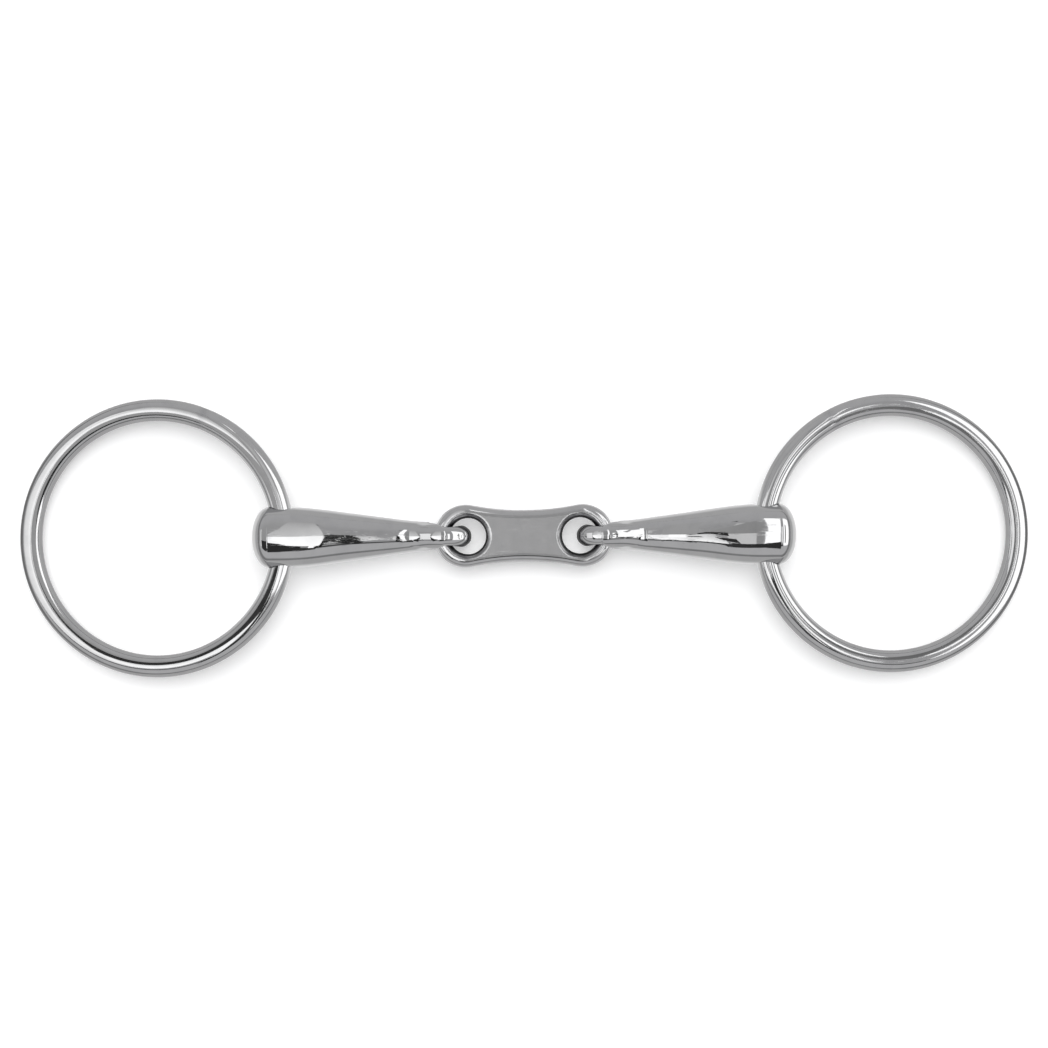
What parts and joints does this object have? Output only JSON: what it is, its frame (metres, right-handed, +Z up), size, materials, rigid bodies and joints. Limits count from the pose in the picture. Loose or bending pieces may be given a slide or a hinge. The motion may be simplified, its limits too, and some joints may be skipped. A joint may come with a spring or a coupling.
{
  "type": "snaffle bit",
  "caption": "Loose-ring snaffle bit: tapered cannons hinged on a flat dog-bone French link, each carrying a round ring for the reins and bridle.",
  "frame": {"origin": "on the resting surface, under the middle of the link", "axes": "+X along the mouthpiece towards the right cannon, +Y across the mouthpiece, +Z up from the resting surface"},
  "size_m": [0.2764, 0.076, 0.017],
  "materials": {
    "ring_steel": "polished stainless steel rod, with a faint weld and light handling marks",
    "cannon_steel": "mirror-polished cast stainless steel",
    "link_steel": "polished stainless steel plate, slightly softer than the cannons"
  },
  "bodies": {
    "link": {"french_link": "link_steel"},
    "left_cannon": {"cannon_left": "cannon_steel"},
    "right_cannon": {"cannon_right": "cannon_steel"},
    "left_ring": {"ring_left": "ring_steel"},
    "right_ring": {"ring_right": "ring_steel"}
  },
  "joints": [
    {"name": "left_cannon_fold", "type": "hinge", "parent": "link", "child": "left_cannon", "pos_m": [-0.0153, 0, 0.006], "axis": [0, 0, -1], "range_deg": [-60, 60]},
    {"name": "right_cannon_fold", "type": "hinge", "parent": "link", "child": "right_cannon", "pos_m": [0.0153, 0, 0.006], "axis": [0, 0, 1], "range_deg": [-60, 60]},
    {"name": "left_ring_swivel", "type": "hinge", "parent": "left_cannon", "child": "left_ring", "pos_m": [-0.06596, 0, 0.00856], "axis": [0, 1, 0], "range_deg": [-100, 100]},
    {"name": "right_ring_swivel", "type": "hinge", "parent": "right_cannon", "child": "right_ring", "pos_m": [0.06596, 0, 0.00856], "axis": [0, -1, 0], "range_deg": [-100, 100]}
  ]
}
